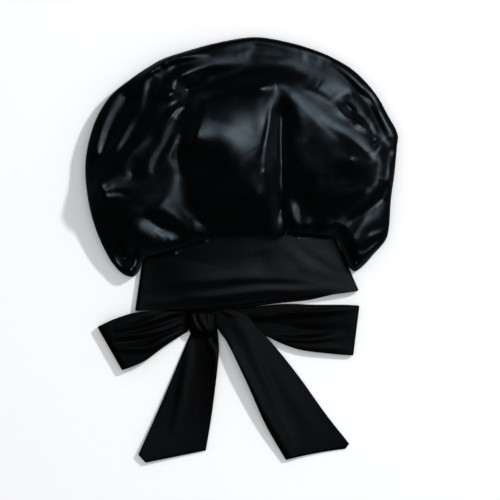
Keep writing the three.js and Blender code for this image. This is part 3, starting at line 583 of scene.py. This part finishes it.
        (-41.1, 144.7)]),
    browLine=((0.7, 5, 6.9), 10.2, 6.5, [(-48.8, 156.3), (-35, 159.3), (-24.4, 163.2), (-11.6, 167.3),
        (1.2, 171), (14.3, 174), (25.4, 175.6), (38.8, 175.3)]),
    puffEdge=((1.6, 0.2, -0.6), 3.3, 3.5, [(-153.2, 95.6), (-152.3, 80), (-148.5, 64.7), (-141.8, 50.4),
        (-132.8, 37.3), (-123, 25.2), (-111.8, 14), (-98.7, 5.1), (-84.1, -0.7)]),
    leftRidge1b=((0, 3.1, 4.3), 7.2, 9.9, [(-125.3, 130.6), (-131.2, 118.5), (-136.2, 108.2), (-144.6, 98.3),
        (-151.5, 88), (-150.6, 77.3), (-144.8, 65.7)]),
    rightRidgeTop=((0.5, 1.3, -6.2), 4.2, 5.1, [(56, 164), (63.1, 152.8), (72.7, 143.3), (83.2, 135.3),
        (94.3, 127.8), (106.6, 121.9), (117.4, 116.4), (127.4, 108.8), (137, 100.1)]),
    rimTop=((-8, 0.1, -4.5), 7.5, 7.4, [(-70, 198.6), (-50.9, 203.3), (-31.4, 204.5), (-12, 206.3),
        (7.6, 208), (27.3, 208.2), (46.8, 208.1), (66.5, 207.1), (85.9, 203.5)]),
    curlLow=((1.7, -1.1, -1.7), 2.4, 2.9, [(-90, 17.9), (-80.9, 10.8), (-70.4, 4.1), (-58.9, 2.5)]),
    lowGather=((-0.2, 0.7, 1.8), 2.6, 3.3, [(-16, 27.6), (-8.1, 21.4), (1.5, 17.3), (11.8, 16.3),
        (21.6, 16.9)]),
    rightBack=((0.8, 0.9, 2), 5.7, 5.4, [(95.3, 158.6), (102.3, 163.6), (110.3, 167.1), (118.1, 169.3)]),
    vRightLow=((0.1, -0.1, 0.6), 2.5, 2.9, [(-62.5, 140.2), (-59.7, 131.2), (-57.8, 121.9), (-57.2, 112.5),
        (-58.7, 103.1)]),
)
rim = curve(crown["rim"], 900)
neckInset = band["wall"] + gap


def plate(square):  # the thin plate spline's kernel, r squared times log r
    return 0.5 * square * np.log(square + 1e-9)


def plateThrough(points, values, stiff):  # the smooth surface that passes close to the values at the points
    d = points[:, None] - points[None]
    n = len(points)
    flat = np.column_stack([np.ones(n), points / 100])
    system = np.zeros((n + 3, n + 3))
    system[:n, :n] = plate((d * d).sum(-1)) + stiff * np.eye(n)
    system[:n, n:], system[n:, :n] = flat, flat.T
    weights = np.linalg.solve(system, np.concatenate([values, np.zeros(3)]))

    def surface(xy):
        out = []
        for part in np.array_split(xy, max(1, len(xy) // 6000)):
            square = ((part[:, None] - points[None]) ** 2).sum(-1)
            slope = np.column_stack([np.ones(len(part)), part / 100]) @ weights[n:]
            out.append(plate(square) @ weights[:n] + slope)
        return np.concatenate(out)
    return surface


def heightPoints(line):  # evenly spaced points, with heights that run evenly between the given ones
    p = np.array(line, float)
    run = runOf(p[:, :2])
    count = max(len(p), int(run[-1] / crown["lineStep"]) + 2)
    height = np.interp(np.linspace(0, run[-1], count), run, p[:, 2])
    return np.column_stack([curve(p[:, :2], count), height])


def crownForms():  # the plate through the height lines, with the cliffs and the folds on top
    level = band["seamRise"] + 1  # the rim line and the seam hold the plate near this height
    border = np.vstack([along(line, np.linspace(0, 1, count)) for line, count in ((rim, 60), (seam, 24))])
    held = np.column_stack([border, np.full(len(border), level)])
    points = np.vstack([*map(heightPoints, crown["heights"].values()), held])
    base = plateThrough(points[:, :2], points[:, 2], crown["stiff"])
    return lambda xy: base(xy) + foldSum(xy, crown["folds"]) + cliffSum(xy, crown["cliffs"])


def mouth(turn):  # the line where the crown leaves the band
    return tube(turn, np.full(turn.shape, 1.025), neckInset)


def neck(turn, inset):  # the crown's hidden edge inside the band
    return tube(turn, np.full(turn.shape, 1 - crown["tuck"]), inset)


def fan(turn, w):  # plan place: a quadratic curve from the mouth over a control point to the rim
    t = turn / np.pi
    crowding = 0.045  # draws the columns towards the rim's two ends
    share = t - crowding * np.sin(2 * np.pi * t)
    start, end = mouth(turn)[..., :2], along(rim, share)
    x, y = np.moveaxis(end - start, -1, 0)
    # the control point: a part of the way across and of the way up, with its own values at the mouth's sides
    middle = smooth(0, 0.12, np.minimum(t, 1 - t))
    sides = 1 - middle
    overX = x * (0.55 * middle + 0.35 * sides) + np.where(x > 0, -1.6, -0.8) * sides
    overY = 0.3 * np.maximum(0, y) + (8 + 0.75 * np.abs(x)) * middle + 2 * sides
    over = start + np.stack([overX, overY], -1)
    w = w[..., None]
    return (1 - w) ** 2 * start + 2 * w * (1 - w) * over + w ** 2 * end, share


def lowestAround(z, reachRows, reachColumns):  # the lowest neighbour of each point of a grid
    padded = np.pad(z, ((reachRows, reachRows), (reachColumns, reachColumns)), mode="edge")
    rows, columns = z.shape
    return np.min([padded[i:i + rows, j:j + columns]
                   for i in range(2 * reachRows + 1) for j in range(2 * reachColumns + 1)], axis=0)


def withHeight(plan, z):  # plan places and heights as points
    return np.concatenate([plan, z[..., None]], -1)


def triangles(a, b, c):  # the last corner comes twice
    return np.stack(np.broadcast_arrays(a, b, c, c), -1)


def makeCrown():
    columns, rows, lowRows = 620, 128, 12
    riseRun = 13  # distance from the mouth in which the sheet comes up to its full height
    swellAt, swellWidth = 6, 5  # how far from the mouth the satin swells most, and over what width
    turn = np.linspace(0, np.pi, columns + 1)[None]
    under = 2 * np.pi - turn
    w = np.linspace(0, 1, rows + 1)[1:, None] ** 0.92  # the rows lie closer at the rim
    allTurns, w = np.broadcast_arrays(turn, w)
    base, share = fan(allTurns, w)
    leftSide, rightSide = (fan(np.full(12, end), np.linspace(0, 1, 12))[0] for end in (0, np.pi))
    outline = np.vstack([leftSide, rim[::4], rightSide[::-1]])
    edgeGap = nearest(base.reshape(-1, 2), outline)[0].reshape(rows, -1)
    edgeGap[:, [0, -1]] = 0
    edgeGap[-1] = 0
    roll = rounded(edgeGap / crown["rimRoll"])
    low, high = band["sideHeight"], crown["sheetEdge"]
    edge = low + (high - low) * smooth(0, 0.12, share) * smooth(0, 0.12, 1 - share) * w
    # the upper sheet comes up from the mouth to its forms and swells over the band's edge
    start = mouth(turn)
    run = np.linalg.norm(np.diff(np.concatenate([start[..., :2], base]), axis=0), axis=-1).cumsum(0)
    forms = crownForms()(base.reshape(-1, 2)).reshape(rows, -1)
    top = start[..., 2] + (edge + (forms - edge) * roll - start[..., 2]) * rounded(run / riseRun)
    swell = np.interp(start[..., 0], crown["swellX"], crown["swellBy"]) * bell((run - swellAt) / swellWidth)
    plan = base - np.stack([0 * run, swell * roll], -1)
    upper = np.concatenate([neck(turn, neckInset), start, withHeight(plan, top)])
    # the lower sheet lies on the floor with fewer rows, which the faces along its two sides make up for
    pick = np.linspace(0, rows, lowRows + 1).astype(int)[1:] - 1
    floor = mouth(under)[..., 2]
    ground = floor + (edge * (1 - roll) - floor) * smooth(0, 0.08, w)
    lower = np.concatenate([neck(under, neckInset), mouth(under), withHeight(base, ground)[pick]])
    lowerRows = np.concatenate([[0, 1], pick + 2])
    up = numbered(upper)
    down = numbered(lower, up.size)
    down[:, 0], down[:, -1], down[-1] = up[lowerRows, 0], up[lowerRows, -1], up[-1]
    faces = [grid(up), grid(down, flip=True)]
    for first, last in zip(lowerRows[:-1], lowerRows[1:]):
        k = np.arange(first + 1, last)
        faces += [triangles(up[first, 0], up[k, 0], up[k + 1, 0]),
                  triangles(up[first, -1], up[k + 1, -1], up[k, -1])]
    # the inner face has every fourth column and fewer rows, and keeps a wall's thickness from both sheets
    step, few = 4, 24
    solid, least, ceilingGap = 4, 1.3, 1.6  # width of the solid rim, least height inside, gap under the top
    centre, halfWidth = np.array([-15.0, 60.0]), 75
    inner = base + (centre - base) * crown["wall"] / halfWidth * smooth(0.2, 1, w)[..., None]
    ceiling = np.maximum(lowestAround(upper[2:, :, 2], 4, 3) - ceilingGap, ground + least)
    inTop = np.where(edgeGap < solid, np.minimum(edge, ceiling), ceiling)
    closing = np.minimum(edge - 0.6, ground + least + 3 * (1 - roll))
    inLow = np.where(edgeGap < solid, closing, ground + crown["wall"])
    inRows = np.concatenate([[0], np.linspace(2, rows + 1, few).astype(int) - 1])
    inset = neckInset + crown["wall"]
    innerUp, innerLow = (np.concatenate([neck(way, inset), withHeight(inner, z)])[inRows, ::step]
                         for way, z in ((turn, inTop), (under, inLow)))
    inUp = numbered(innerUp, up.size + lower[..., 0].size)
    inDown = inUp + inUp.size
    inDown[:, 0], inDown[:, -1], inDown[-1] = inUp[:, 0], inUp[:, -1], inUp[-1]
    faces += [grid(inUp, flip=True), grid(inDown)]
    # the edge inside the band joins the outer face to the inner one
    ring = np.concatenate([up[0, :-1], down[0, :0:-1]])
    inRing = np.concatenate([inUp[0, :-1], inDown[0, :0:-1]])
    nextRing = np.roll(ring, -1)
    faces += [triangles(nextRing, ring, np.repeat(inRing, step)),
              triangles(nextRing[step - 1::step], inRing, np.roll(inRing, -1))]
    points = np.vstack([sheet.reshape(-1, 3) for sheet in (upper, lower, innerUp, innerLow)])
    obj = piece("crownSatin", points, np.vstack(faces), "crown", satin)
    return obj


# Bow: two loops, two tails and the knot. Edges run from the knot to the end; folds say height, width to the
# left and right of the path, and path; lifts are heights of a tail's left edge, middle and right edge.
strapWall = 2.2
loops = [
    dict(
        name="loopLeft", node="bow_loop_left", hand=-1, lift=12.5, opens=0.05, cut=(0.2, 0.055),
        upper=[(-57.9, -64.4), (-83.8, -65.6), (-114.4, -67.4), (-137.5, -74.4), (-154.8, -82.4)],
        cover=[(-57.9, -64.4), (-83.8, -65.6), (-114.4, -67.4), (-137.5, -74.4), (-154.8, -82.4)],
        lower=[(-57.6, -87.5), (-82, -103), (-103.6, -119.1), (-115.7, -124.8), (-128, -129.4)],
        folds=dict(
            top=(2.8, 3.5, 3.5, [(-59.2, -66.3), (-77.5, -68.5), (-109.9, -80.4), (-140.2, -87.9)]),
            upper=(3, 3, 3.5, [(-58.1, -76), (-90.5, -87.9), (-142.3, -94.4)]),
            lower=(2.8, 3.5, 3, [(-58.1, -82.5), (-88.3, -98.7), (-101.3, -105.2), (-142.3, -105.2)]),
            lowValley=(-2.8, 3.5, 3.5, [(-62.4, -80.4), (-99.1, -94.4), (-135.9, -99.8)]),
            topValley=(-2.2, 3, 3, [(-62.4, -70.6), (-99.1, -82.5), (-135.9, -91.2)]),
        )),
    dict(
        name="loopRight", node="bow_loop_right", hand=1, lift=8, opens=0.38, cut=(0.3, 0.05),
        upper=[(-29.9, -66.2), (-10.1, -63.2), (8.4, -61.7), (25.2, -59.8), (41.9, -58.3), (57, -58.2),
            (75.5, -58.9), (112.4, -59.1), (125.9, -59.8)],
        cover=[(-28.8, -71.4), (8.4, -69.2), (41.9, -66.9), (75.5, -64.8), (112.4, -61.4), (125.9, -60)],
        lower=[(-27.8, -85.2), (0, -89.3), (24.1, -92.3), (40.4, -99.8), (62, -107.4), (94.4, -111.8),
            (119.2, -113.8)],
        folds=dict(
            top=(3.4, 2.6, 4.5, [(-1.9, -69), (21.8, -67.9), (62.9, -66.9), (119, -63.1)]),
            short=(2.6, 4, 3.5, [(3.5, -78.2), (11, -73.9), (21.8, -71.7), (41.3, -72.8)]),
            valley=(-3.2, 6, 6, [(11, -84.7), (32.6, -86.8), (68.3, -87.9), (106.1, -85.8)]),
            low=(3.2, 3.2, 3.2, [(24, -91.2), (46.7, -95.5), (75.8, -96.6), (106.1, -91.2)]),
            edge=(2.2, 3.5, 4, [(32.6, -98.7), (62.9, -104.1), (111.5, -106.3)]),
            triangle=(3, 2.6, 2.6, [(5.6, -66.3), (11, -58.8), (17, -53.4), (21.8, -55.5), (33.7, -60.9),
                (49.9, -66.3)]),
        )),
]
tails = [
    dict(
        name="tailLeft", node="tail_left", corner=0.11, drop=10.53, cut=(0.06, 0.135),
        lifts=[(0.5, 0.5, 3), (1.5, 1.5, 6), (2.5, 1.4, 4.5), (3.5, 1.2, 2), (5.5, 2.6, 0.8)],
        left=[(-53.3, -85.9), (-57.5, -95), (-67.6, -119.1), (-89, -169.9), (-111.5, -220.5)],
        right=[(-27.3, -80.6), (-25.5, -91.6), (-24.5, -107.6), (-27.2, -136.9), (-32.7, -180),
            (-38.7, -216.4)],
        folds=dict(
            leftCrest=(1.6, 5, 5, [(-55.9, -95.5), (-60.3, -132.2), (-73.2, -194.8)]),
            rightCrest=(2.6, 2.8, 2.8, [(-37.6, -91.2), (-34.9, -100.9), (-28.9, -110.6), (-30, -140.8)]),
            valley=(-2, 5, 5, [(-46.2, -95.5), (-40.8, -140.8), (-40.8, -205.6)]),
        )),
    dict(
        name="tailRight", node="tail_right", corner=0.94, drop=5.04, cut=(0.06, 0.17),
        lifts=[(7.5, 7.5, 7.5), (12, 9, 5.5), (11.5, 6, 1.8), (8, 3.2, 0.4), (4, 1.4, 0.4)],
        left=[(-27.9, -77.9), (-24, -87.9), (-16.9, -97.6), (4.4, -140.8), (26, -188.9), (47.6, -226.5)],
        right=[(-30.5, -65), (-12.1, -63.9), (4.4, -69.6), (13.9, -79.9), (36.7, -105.1), (62, -136.9),
            (90.7, -177), (116, -209.1)],
        folds=dict(
            crest=(2.6, 4, 9, [(-10.6, -71.7), (4.5, -89), (16.4, -119.2), (28.3, -146.2), (38, -173.2),
                (56.4, -213.2)]),
            leftCrest=(2.2, 7, 3.5, [(-17.1, -91.2), (-11.7, -103), (11, -146.2), (24, -173.2),
                (42.3, -205.6), (58.5, -232.6)]),
            broad=(0.8, 8, 8, [(21.8, -103), (46.7, -146.2), (79.1, -194.8)]),
            edge=(1.2, 2, 2.4, [(-27.9, -60.9), (-17.1, -66.3), (-9.5, -70.1), (1.3, -69.6)]),
        )),
]
knot = dict(
    rows=[  # y, middle, half width, foot and head
        (-57, -44.4, 6.7, 2.5, 7.8),
        (-60, -44.4, 10.4, 2.5, 9.2),
        (-64.6, -44.3, 12.9, 2.5, 10),
        (-68.2, -43.9, 13.9, 0.38, 14.5),
        (-74.4, -43.6, 14.6, 0, 16.2),
        (-82.4, -43.1, 14.8, 1.2, 16.5),
        (-88.2, -42.3, 13.8, 3.1, 14.8),
        (-92.1, -41.3, 11.7, 3.3, 11.2),
        (-93.9, -40.6, 8.4, 3.6, 7.5),
    ],
    folds=dict(
        leftValley=(-1.6, 1.6, 2.4, [(-50.5, -56.6), (-48.4, -73.9), (-40.8, -87.9)]),
        middleValley=(-1.6, 1.4, 1.6, [(-38.1, -55.5), (-38.7, -70.6), (-35.4, -85.8)]),
        rightValley=(-1.3, 1.4, 1.4, [(-33.3, -55.5), (-34.3, -76), (-31.1, -90.1)]),
    ),
    capOut=0.9,  # how far its two ends bulge
)


def strapGrid(rows, columns):  # share along the strap and across it, for each point of its middle surface
    return np.meshgrid(np.linspace(0, 1, rows), ease(columns, 1.5), indexing="ij")


def makeLoop(name, node, hand, lift, opens, upper, cover, lower, folds, cut):
    v, u = strapGrid(150, 44)
    q = 1 - u if hand > 0 else u
    upperEdge, coverEdge, lowerEdge = (curve(line, 200) for line in (upper, cover, lower))
    length = runOf(upperEdge)[-1]
    flatWidth = 60
    straight = 0.4  # share of the strap that lies straight on each side of the turn
    radius = lift / 2 / length
    angle = np.clip((v - straight) / (1 - 2 * straight), 0, 1) * np.pi
    s = np.minimum(1, np.minimum(v, 1 - v) / straight) * (1 - radius) + radius * np.sin(angle)
    back = smooth(0.45, 0.75, v)[..., None]  # the covering layer has its own upper edge
    top = along(upperEdge, s) * (1 - back) + along(coverEdge, s) * back
    plan = top * (1 - q[..., None]) + along(lowerEdge, s) * q[..., None]
    closed = 2 * strapWall + 2 * gap
    apart = closed - strapWall + (lift - closed) * smooth(opens, opens + 0.4, s)
    z = strapWall / 2 + apart * (1 - np.cos(angle)) / 2
    z += foldSum(plan.reshape(-1, 2), folds).reshape(z.shape) * smooth(0.52, 0.6, v)
    z = np.maximum(z, np.where(v > 0.55, 1.6 * strapWall + gap, 0))  # this layer stays over the lower one
    uv = np.stack([v * 2 * length, u * flatWidth], -1)
    obj = pillow(name, withHeight(plan, z), strapWall, node, strapCloth, uv)
    return obj


def makeTail(name, node, left, right, lifts, folds, drop, corner, cut):
    rows, flatWidth, flatLength = 130, 55, 140
    v, q = strapGrid(rows, 60)
    leftEdge, rightEdge = curve(left, 300), curve(right, 300)
    plan = along(leftEdge, v) * (1 - q[..., None]) + along(rightEdge, v) * q[..., None]
    leftLow, rightLow = np.minimum(1, q / corner) * (1 - q), np.minimum(1, (1 - q) / (1 - corner)) * q * q
    plan[..., 1] -= drop * (leftLow if corner < 0.5 else rightLow) * v ** 6  # the end is longest here
    heights = curve([(10 * i, *row) for i, row in enumerate(lifts)], rows)[:, 1:]
    z = strapWall / 2 + 0.1 + swing(*heights.T[..., None], q)
    z += np.maximum(foldSum(plan.reshape(-1, 2), folds).reshape(z.shape), -0.1)
    uv = np.stack([q * flatWidth, v * flatLength], -1)
    obj = pillow(name, withHeight(plan, z), strapWall, node, strapCloth, uv)
    return obj


def makeKnot():
    around, rows = 160, 90
    profile = curve(knot["rows"], rows)
    angle = np.linspace(0, 2 * np.pi, around, endpoint=False)[None]
    y, x, w, foot, head = (profile[:, j][:, None] for j in range(5))
    c, s = np.cos(angle), np.sin(angle)
    px = x + w * np.sign(c) * np.abs(c) ** 0.8  # each section is a box with round corners: powers under 1
    pz = foot + (head - foot) / 2 * (1 + np.sign(s) * np.abs(s) ** 0.7)
    wrap = np.stack([px, y + 0 * angle, pz], -1)
    folds = foldSum(wrap[..., :2].reshape(-1, 2), knot["folds"]).reshape(pz.shape)
    wrap[..., 2] += folds * np.clip(s, 0, 1) ** 0.5
    ends = [(row[1], row[0] + out, row[3:].mean())
            for row, out in ((profile[0], knot["capOut"]), (profile[-1], -knot["capOut"]))]
    points = np.vstack([wrap.reshape(-1, 3), ends])
    index = np.pad(numbered(wrap), ((0, 0), (0, 1)), mode="wrap")
    caps = [triangles(index[0, 1:], index[0, :-1], rows * around),
            triangles(index[-1, :-1], index[-1, 1:], rows * around + 1)]
    faces = np.vstack([grid(index, flip=True), *caps])
    obj = piece("knotWrap", points, faces, "knot", strapCloth)
    return obj


# Stage, light and camera; the room's even light comes from the world, and gloss mirrors the lamps alone
stage = dict(
    halfSide=4.0, paper=(0.86, 0.87, 0.88), room=(0.985, 0.99, 1.0), roomStrength=0.45,
    cameraAt=(0.0089, 0.0, 4.0), lens=266.7,
    lamps=dict(  # direction, distance, size, power, colour, and whether it serves the gloss or the shading
        key=((0.56, 0.46, 0.69), 3.5, 0.3, 80.0, (1.0, 0.99, 0.975), "shading"),
        panel=((0.575, 0.341, 0.743), 3.52, 3.25, 91.0, (1.0, 0.99, 0.975), "gloss"),  # the broad highlight
        spark=((0.575, 0.341, 0.743), 3.48, 0.7, 19.0, (1.0, 0.99, 0.975), "gloss"),  # its bright middle
        ceiling=((0, 0, 1), 4.2, 4.0, 60.0, (0.985, 0.99, 1.0), "shading"),
    ))


def makeFloor():
    side = stage["halfSide"]
    floor = bpy.data.meshes.new("floor")
    corners = [(-side, -side, 0), (side, -side, 0), (side, side, 0), (-side, side, 0)]
    floor.from_pydata(corners, [], [(0, 1, 2, 3)])
    obj = bpy.data.objects.new("floor", floor)
    scene.collection.objects.link(obj)
    m = bpy.data.materials.new("paper")
    m.use_nodes = True
    shader = m.node_tree.nodes["Principled BSDF"]
    shader.inputs["Base Color"].default_value = (*stage["paper"], 1)
    shader.inputs["Roughness"].default_value = 0.95
    shader.inputs["Specular IOR Level"].default_value = 0.1
    obj.data.materials.append(m)
    obj.visible_glossy = False


def makeLamp(name, towards, distance, size, power, colour, serves):
    light = bpy.data.lights.new(name, "AREA")
    light.shape = "DISK"
    light.size = size
    light.energy = power
    light.color = colour
    obj = bpy.data.objects.new(name, light)
    scene.collection.objects.link(obj)
    d = np.array(towards) / np.linalg.norm(towards)
    obj.location = d * distance
    obj.rotation_mode = "QUATERNION"
    obj.rotation_quaternion = Vector(d).to_track_quat("Z", "Y")
    obj.visible_glossy = serves == "gloss"
    obj.visible_diffuse = serves == "shading"


def makeWorld():
    world = bpy.data.worlds.new("studio")
    scene.world = world
    world.use_nodes = True
    back = world.node_tree.nodes["Background"]
    back.inputs["Color"].default_value = (*stage["room"], 1)
    back.inputs["Strength"].default_value = stage["roomStrength"]
    world.cycles_visibility.glossy = False


def makeCamera():
    camera = bpy.data.objects.new("camera", bpy.data.cameras.new("camera"))
    scene.collection.objects.link(camera)
    camera.location = stage["cameraAt"]
    camera.data.lens = stage["lens"]
    camera.data.clip_end = 20
    scene.camera = camera
    scene.view_settings.view_transform = "Standard"


makeFloor()
for name, lamp in stage["lamps"].items():
    makeLamp(name, *lamp)
makeWorld()
makeCamera()
print("stage made")
makeBand()
print("band made")
makeCrown()
print("crown made")
for row in loops:
    makeLoop(**row)
for row in tails:
    makeTail(**row)
makeKnot()
print("bow made")
